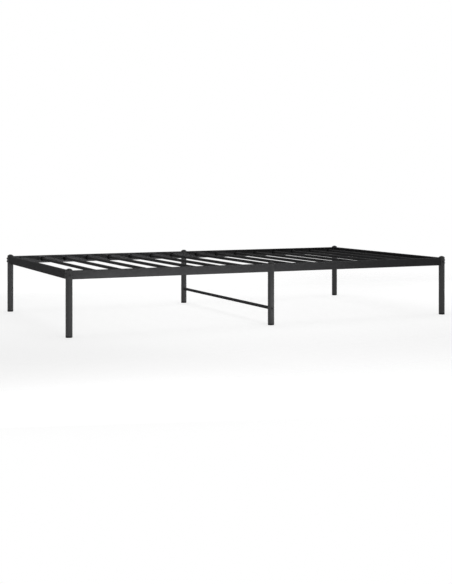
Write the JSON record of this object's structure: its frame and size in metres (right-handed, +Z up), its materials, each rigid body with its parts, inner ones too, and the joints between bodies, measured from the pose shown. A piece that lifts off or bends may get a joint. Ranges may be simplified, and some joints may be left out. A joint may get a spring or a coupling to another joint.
{
  "type": "bed frame",
  "caption": "Low black metal bed base with round legs, rectangular side and end rails, tubular slats across it and a cross bar between its middle legs, for a single mattress.",
  "frame": {"origin": "on the floor, under the middle of the bed", "axes": "+X along the bed, +Y across it from the front side rail to the back one, +Z up"},
  "size_m": [1.9886, 1.0886, 0.296],
  "materials": {
    "powder_coat": "fine matte black powder coat",
    "black_plastic": "matte moulded black",
    "black_fastener": "black oxide",
    "plated_steel": "zinc plated"
  },
  "bodies": {
    "root": {"cross_bar": "powder_coat", "cross_bar_bolts": "black_fastener", "cross_bar_plugs": "plated_steel", "end_rail_bolts": "black_fastener", "end_rail_left": "powder_coat", "end_rail_nut_blocks": "plated_steel", "end_rail_right": "powder_coat", "foot_back_left": "black_plastic", "foot_back_middle": "black_plastic", "foot_back_right": "black_plastic", "foot_front_left": "black_plastic", "foot_front_middle": "black_plastic", "foot_front_right": "black_plastic", "leg_back_left": "powder_coat", "leg_back_middle": "powder_coat", "leg_back_right": "powder_coat", "leg_cap_back_left": "black_plastic", "leg_cap_back_middle": "black_plastic", "leg_cap_back_right": "black_plastic", "leg_cap_front_left": "black_plastic", "leg_cap_front_middle": "black_plastic", "leg_cap_front_right": "black_plastic", "leg_front_left": "powder_coat", "leg_front_middle": "powder_coat", "leg_front_right": "powder_coat", "rail_stub_back_left": "powder_coat", "rail_stub_back_right": "powder_coat", "rail_stub_front_left": "powder_coat", "rail_stub_front_right": "powder_coat", "saddle_washers": "black_fastener", "side_rail_back_left": "powder_coat", "side_rail_back_right": "powder_coat", "side_rail_bolts": "black_fastener", "side_rail_front_left": "powder_coat", "side_rail_front_right": "powder_coat", "side_rail_nut_blocks": "plated_steel", "slat_01": "powder_coat", "slat_02": "powder_coat", "slat_03": "powder_coat", "slat_04": "powder_coat", "slat_05": "powder_coat", "slat_06": "powder_coat", "slat_07": "powder_coat", "slat_08": "powder_coat", "slat_09": "powder_coat", "slat_10": "powder_coat", "slat_11": "powder_coat", "slat_12": "powder_coat", "slat_13": "powder_coat", "slat_14": "powder_coat", "slat_15": "powder_coat", "slat_16": "powder_coat", "slat_sockets_back_left": "black_plastic", "slat_sockets_back_right": "black_plastic", "slat_sockets_front_left": "black_plastic", "slat_sockets_front_right": "black_plastic", "stub_bolts": "black_fastener", "stub_nuts": "plated_steel"}
  },
  "joints": []
}
